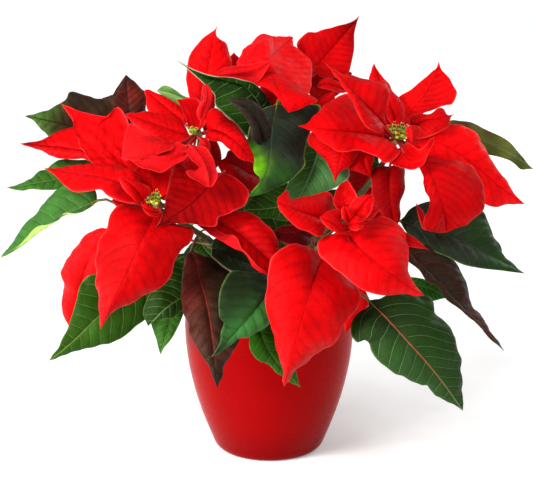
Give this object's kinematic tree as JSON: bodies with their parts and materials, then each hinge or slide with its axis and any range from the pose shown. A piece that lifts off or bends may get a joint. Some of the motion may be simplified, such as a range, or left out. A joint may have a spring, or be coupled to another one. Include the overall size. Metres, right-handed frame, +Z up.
{
  "type": "potted poinsettia",
  "caption": "Potted poinsettia: red bracts in several heads over dark green leaves, branching from one stem in soil inside a tapered glazed pot that rests on its base.",
  "frame": {"origin": "centre of the pot's flat underside", "axes": "+Z up along the pot's axis, -Y towards the front, +X to the right seen from the front"},
  "size_m": [0.4377, 0.2861, 0.3555],
  "materials": {
    "pot": "gloss red glaze",
    "soil": "rough, dark, crumbly",
    "stems": "matte green-brown bark",
    "bract": "soft satin red with fine veins",
    "leaf": "satin green with pale veins",
    "brown_leaf": "satin brown-green with reddish veins",
    "cyathia": "satin yellow-green"
  },
  "bodies": {
    "root": {"bract_a1": "bract", "bract_a2": "bract", "bract_a3": "bract", "bract_a4": "bract", "bract_a5": "bract", "bract_a8": "bract", "bract_b10": "bract", "bract_b3": "bract", "bract_b6": "bract", "bract_b8": "bract", "bract_d1": "bract", "bract_d2": "bract", "bract_e1": "bract", "bract_e11": "bract", "bract_e2": "bract", "bract_e4": "bract", "bract_e6": "bract", "bract_e7": "bract", "bract_f1": "bract", "bract_f2": "bract", "bract_f3": "bract", "bract_g": "bract", "cyathia_a": "cyathia", "cyathia_b": "cyathia", "cyathia_d": "cyathia", "cyathia_e": "cyathia", "cyathia_f": "cyathia", "leaf_01": "brown_leaf", "leaf_02": "brown_leaf", "leaf_03": "leaf", "leaf_04": "leaf", "leaf_05": "leaf", "leaf_06": "leaf", "leaf_07": "leaf", "leaf_08": "brown_leaf", "leaf_09": "leaf", "leaf_10": "leaf", "leaf_11": "leaf", "leaf_13": "leaf", "leaf_14": "leaf", "leaf_15": "brown_leaf", "leaf_17": "brown_leaf", "leaf_18": "leaf", "leaf_19": "leaf", "leaf_21": "leaf", "leaf_24": "leaf", "leaf_25": "leaf", "leaf_26": "leaf", "leaf_27": "leaf", "leaf_28": "leaf", "leaf_29": "leaf", "leaf_30": "leaf", "pot": "pot", "rosette_a": "bract", "rosette_b": "bract", "rosette_d": "bract", "rosette_e": "bract", "rosette_f": "bract", "soil": "soil", "stems": "stems"}
  },
  "joints": []
}
